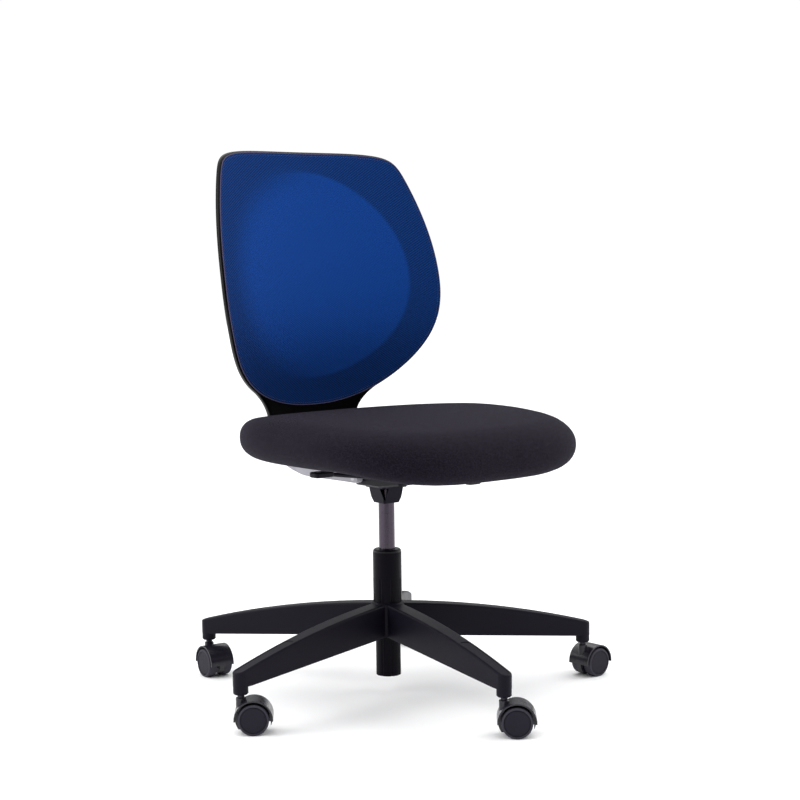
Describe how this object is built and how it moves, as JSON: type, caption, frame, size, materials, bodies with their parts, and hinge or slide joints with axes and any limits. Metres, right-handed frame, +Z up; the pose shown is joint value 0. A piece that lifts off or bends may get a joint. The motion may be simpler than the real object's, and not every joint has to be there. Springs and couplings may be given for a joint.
{
  "type": "swivel office chair",
  "caption": "Armless swivel task chair with a mesh shield-shaped back, an upholstered seat, a gas lift column and a five-star base on twin-wheel casters.",
  "frame": {"origin": "on the floor, on the axis of the column", "axes": "+Z up, -Y towards the front of the seat, +X to the sitter's left; the back is upright and the seat at a middle height at rest"},
  "size_m": [0.7459, 0.7298, 0.944],
  "materials": {
    "base_nylon": "satin moulded nylon, fine grain",
    "black_steel": "satin black powder coat",
    "bright_steel": "ground hard chrome",
    "plain_steel": "zinc plated",
    "dark_steel": "dark phosphate finish",
    "bush_plastic": "smooth",
    "caster_nylon": "satin",
    "tread_soft": "soft tread",
    "wheel_plastic": "fine spark texture",
    "mechanism_metal": "satin black",
    "carrier_plastic": "semi gloss moulded plastic",
    "frame_plastic": "fine grain",
    "seat_fabric": "woven charcoal upholstery",
    "mesh_fabric": "blue knitted mesh",
    "pan_plastic": "moulded plastic"
  },
  "bodies": {
    "base": {"base_star": "base_nylon", "socket_sleeves": "dark_steel", "stand_tube": "black_steel", "guide_bush": "bush_plastic", "thrust_bearing": "plain_steel"},
    "rod": {"piston_rod": "bright_steel", "retaining_clip": "plain_steel"},
    "mechanism": {"gas_cylinder": "bright_steel", "socket_boot": "carrier_plastic", "mechanism_housing": "mechanism_metal", "tilt_spring": "plain_steel", "back_pivot_pin": "plain_steel", "seat_pivot_pin": "plain_steel"},
    "valve": {"valve_pin": "plain_steel"},
    "height_lever": {"height_lever": "mechanism_metal"},
    "tilt_lock_lever": {"tilt_lock_lever": "mechanism_metal"},
    "tension_knob": {"tension_knob": "carrier_plastic"},
    "seat": {"seat_pan": "pan_plastic", "seat_cushion": "seat_fabric", "seat_screws": "plain_steel"},
    "back": {"back_carrier": "carrier_plastic", "back_frame": "frame_plastic", "back_mesh": "mesh_fabric", "back_screws": "plain_steel"},
    "caster_1": {"caster_1_housing": "caster_nylon", "caster_1_stem": "dark_steel", "caster_1_axle": "dark_steel"},
    "caster_1_left_wheel": {"caster_1_wheel_left": "wheel_plastic", "caster_1_tread_left": "tread_soft"},
    "caster_1_right_wheel": {"caster_1_wheel_right": "wheel_plastic", "caster_1_tread_right": "tread_soft"},
    "caster_2": {"caster_2_housing": "caster_nylon", "caster_2_stem": "dark_steel", "caster_2_axle": "dark_steel"},
    "caster_2_left_wheel": {"caster_2_wheel_left": "wheel_plastic", "caster_2_tread_left": "tread_soft"},
    "caster_2_right_wheel": {"caster_2_wheel_right": "wheel_plastic", "caster_2_tread_right": "tread_soft"},
    "caster_3": {"caster_3_housing": "caster_nylon", "caster_3_stem": "dark_steel", "caster_3_axle": "dark_steel"},
    "caster_3_left_wheel": {"caster_3_wheel_left": "wheel_plastic", "caster_3_tread_left": "tread_soft"},
    "caster_3_right_wheel": {"caster_3_wheel_right": "wheel_plastic", "caster_3_tread_right": "tread_soft"},
    "caster_4": {"caster_4_housing": "caster_nylon", "caster_4_stem": "dark_steel", "caster_4_axle": "dark_steel"},
    "caster_4_left_wheel": {"caster_4_wheel_left": "wheel_plastic", "caster_4_tread_left": "tread_soft"},
    "caster_4_right_wheel": {"caster_4_wheel_right": "wheel_plastic", "caster_4_tread_right": "tread_soft"},
    "caster_5": {"caster_5_housing": "caster_nylon", "caster_5_stem": "dark_steel", "caster_5_axle": "dark_steel"},
    "caster_5_left_wheel": {"caster_5_wheel_left": "wheel_plastic", "caster_5_tread_left": "tread_soft"},
    "caster_5_right_wheel": {"caster_5_wheel_right": "wheel_plastic", "caster_5_tread_right": "tread_soft"}
  },
  "joints": [
    {"name": "seat_swivel", "type": "hinge", "parent": "base", "child": "rod", "pos_m": [0, 0, 0.03], "axis": [0, 0, 1], "continuous": true},
    {"name": "seat_height", "type": "slide", "parent": "rod", "child": "mechanism", "axis": [0, 0, 1], "range_m": [-0.08, 0.04]},
    {"name": "recline", "type": "hinge", "parent": "mechanism", "child": "back", "pos_m": [0, 0.024, 0.375], "axis": [-1, 0, 0], "range_deg": [0, 20], "stiffness_Nm_per_rad": 60, "springref_deg": -28.65},
    {"name": "seat_tilt", "type": "hinge", "parent": "mechanism", "child": "seat", "pos_m": [0, -0.08, 0.384], "axis": [-1, 0, 0], "range_deg": [0, 7]},
    {"name": "valve_press", "type": "slide", "parent": "mechanism", "child": "valve", "axis": [0, 0, -1], "range_m": [0, 0.004], "stiffness_N_per_m": 2000, "springref_m": -0.002},
    {"name": "height_lever_lift", "type": "hinge", "parent": "mechanism", "child": "height_lever", "pos_m": [0, -0.05, 0.382], "axis": [-1, 0, 0], "range_deg": [0, 12], "stiffness_Nm_per_rad": 1, "springref_deg": -17.19},
    {"name": "tilt_lock_turn", "type": "hinge", "parent": "mechanism", "child": "tilt_lock_lever", "pos_m": [0, -0.05, 0.382], "axis": [-1, 0, 0], "range_deg": [-10, 15]},
    {"name": "tension_turn", "type": "hinge", "parent": "mechanism", "child": "tension_knob", "pos_m": [0, -0.018, 0.376], "axis": [1, 0, 0], "range_deg": [-360, 360]},
    {"name": "caster_1_swivel", "type": "hinge", "parent": "base", "child": "caster_1", "pos_m": [0.24505, 0.25823, 0.07], "axis": [0, 0, 1], "continuous": true},
    {"name": "caster_1_left_roll", "type": "hinge", "parent": "caster_1", "child": "caster_1_left_wheel", "pos_m": [0.2622, 0.24833, 0.025], "axis": [-0.5, -0.866, 0], "continuous": true},
    {"name": "caster_1_right_roll", "type": "hinge", "parent": "caster_1", "child": "caster_1_right_wheel", "pos_m": [0.2622, 0.24833, 0.025], "axis": [-0.5, -0.866, 0], "continuous": true},
    {"name": "caster_2_swivel", "type": "hinge", "parent": "base", "child": "caster_2", "pos_m": [-0.16987, 0.31286, 0.07], "axis": [0, 0, 1], "continuous": true},
    {"name": "caster_2_left_roll", "type": "hinge", "parent": "caster_2", "child": "caster_2_left_wheel", "pos_m": [-0.17159, 0.29313, 0.025], "axis": [-0.9962, 0.0872, 0], "continuous": true},
    {"name": "caster_2_right_roll", "type": "hinge", "parent": "caster_2", "child": "caster_2_right_wheel", "pos_m": [-0.17159, 0.29313, 0.025], "axis": [-0.9962, 0.0872, 0], "continuous": true},
    {"name": "caster_3_swivel", "type": "hinge", "parent": "base", "child": "caster_3", "pos_m": [-0.35004, -0.06488, 0.07], "axis": [0, 0, 1], "continuous": true},
    {"name": "caster_3_left_roll", "type": "hinge", "parent": "caster_3", "child": "caster_3_left_wheel", "pos_m": [-0.33398, -0.07646, 0.025], "axis": [-0.585, -0.8111, 0], "continuous": true},
    {"name": "caster_3_right_roll", "type": "hinge", "parent": "caster_3", "child": "caster_3_right_wheel", "pos_m": [-0.33398, -0.07646, 0.025], "axis": [-0.585, -0.8111, 0], "continuous": true},
    {"name": "caster_4_swivel", "type": "hinge", "parent": "base", "child": "caster_4", "pos_m": [-0.04647, -0.35295, 0.07], "axis": [0, 0, 1], "continuous": true},
    {"name": "caster_4_left_roll", "type": "hinge", "parent": "caster_4", "child": "caster_4_left_wheel", "pos_m": [-0.03143, -0.36584, 0.025], "axis": [-0.6508, -0.7593, 0], "continuous": true},
    {"name": "caster_4_right_roll", "type": "hinge", "parent": "caster_4", "child": "caster_4_right_wheel", "pos_m": [-0.03143, -0.36584, 0.025], "axis": [-0.6508, -0.7593, 0], "continuous": true},
    {"name": "caster_5_swivel", "type": "hinge", "parent": "base", "child": "caster_5", "pos_m": [0.32132, -0.15326, 0.07], "axis": [0, 0, 1], "continuous": true},
    {"name": "caster_5_left_roll", "type": "hinge", "parent": "caster_5", "child": "caster_5_left_wheel", "pos_m": [0.34111, -0.15257, 0.025], "axis": [0.0349, -0.9994, 0], "continuous": true},
    {"name": "caster_5_right_roll", "type": "hinge", "parent": "caster_5", "child": "caster_5_right_wheel", "pos_m": [0.34111, -0.15257, 0.025], "axis": [0.0349, -0.9994, 0], "continuous": true}
  ],
  "couplings": [
    {"joint": "seat_tilt", "follows": "recline", "ratio": 0.35}
  ]
}
